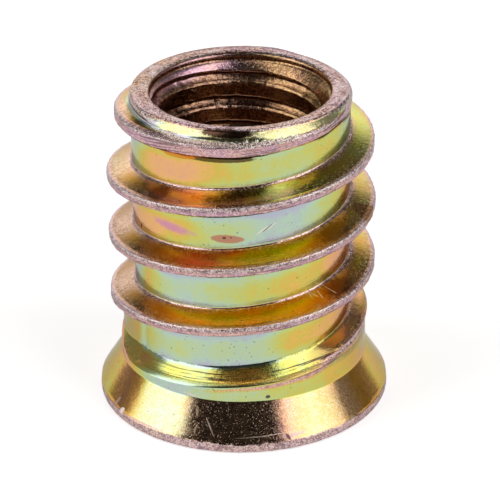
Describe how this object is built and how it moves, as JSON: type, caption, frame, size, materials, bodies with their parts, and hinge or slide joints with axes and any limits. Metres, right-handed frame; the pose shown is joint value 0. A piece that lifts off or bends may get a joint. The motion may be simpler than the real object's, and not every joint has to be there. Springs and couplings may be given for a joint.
{
  "type": "threaded insert",
  "caption": "Steel bush with a coarse self-cutting wood thread outside, a metric thread through its bore, a coned flange and a hexagon drive socket.",
  "frame": {"origin": "on the bore's axis, in the plane of the flange's outer face", "axes": "+Z along the bore's axis from the flange face to the tip face; the hexagon socket has two flats square to Y and two corners on X"},
  "size_m": [0.0134, 0.0134, 0.015],
  "materials": {
    "zinc_plated_steel": "yellow passivated zinc plating on steel"
  },
  "bodies": {
    "root": {"threaded_insert": "zinc_plated_steel"}
  },
  "joints": []
}
